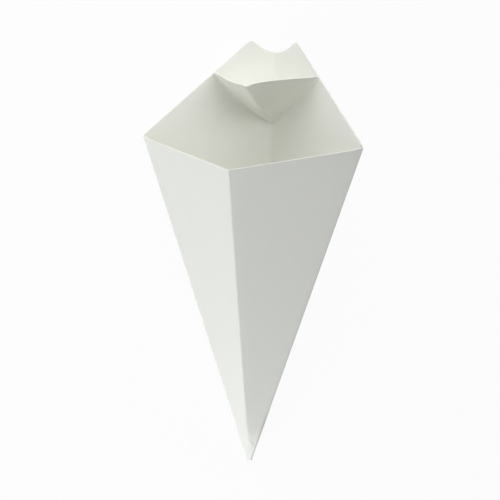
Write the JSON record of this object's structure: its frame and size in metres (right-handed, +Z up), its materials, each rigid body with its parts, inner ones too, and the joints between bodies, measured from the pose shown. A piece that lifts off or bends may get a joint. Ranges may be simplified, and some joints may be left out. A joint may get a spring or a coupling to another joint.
{
  "type": "paper snack cone",
  "caption": "Folded paperboard serving cone with a scalloped back flap and a pop-in sauce pocket inside the mouth.",
  "frame": {"origin": "centre of the bounding box's base, on the surface that the cone lies on", "axes": "+Z up from the outer back panel that the cone lies on; +Y from the tip towards the mouth, along the cone's axis seen from above"},
  "size_m": [0.1108, 0.2526, 0.073],
  "materials": {
    "paperboard": "matt clay-coated white"
  },
  "bodies": {
    "root": {"folded_cone": "paperboard"}
  },
  "joints": []
}
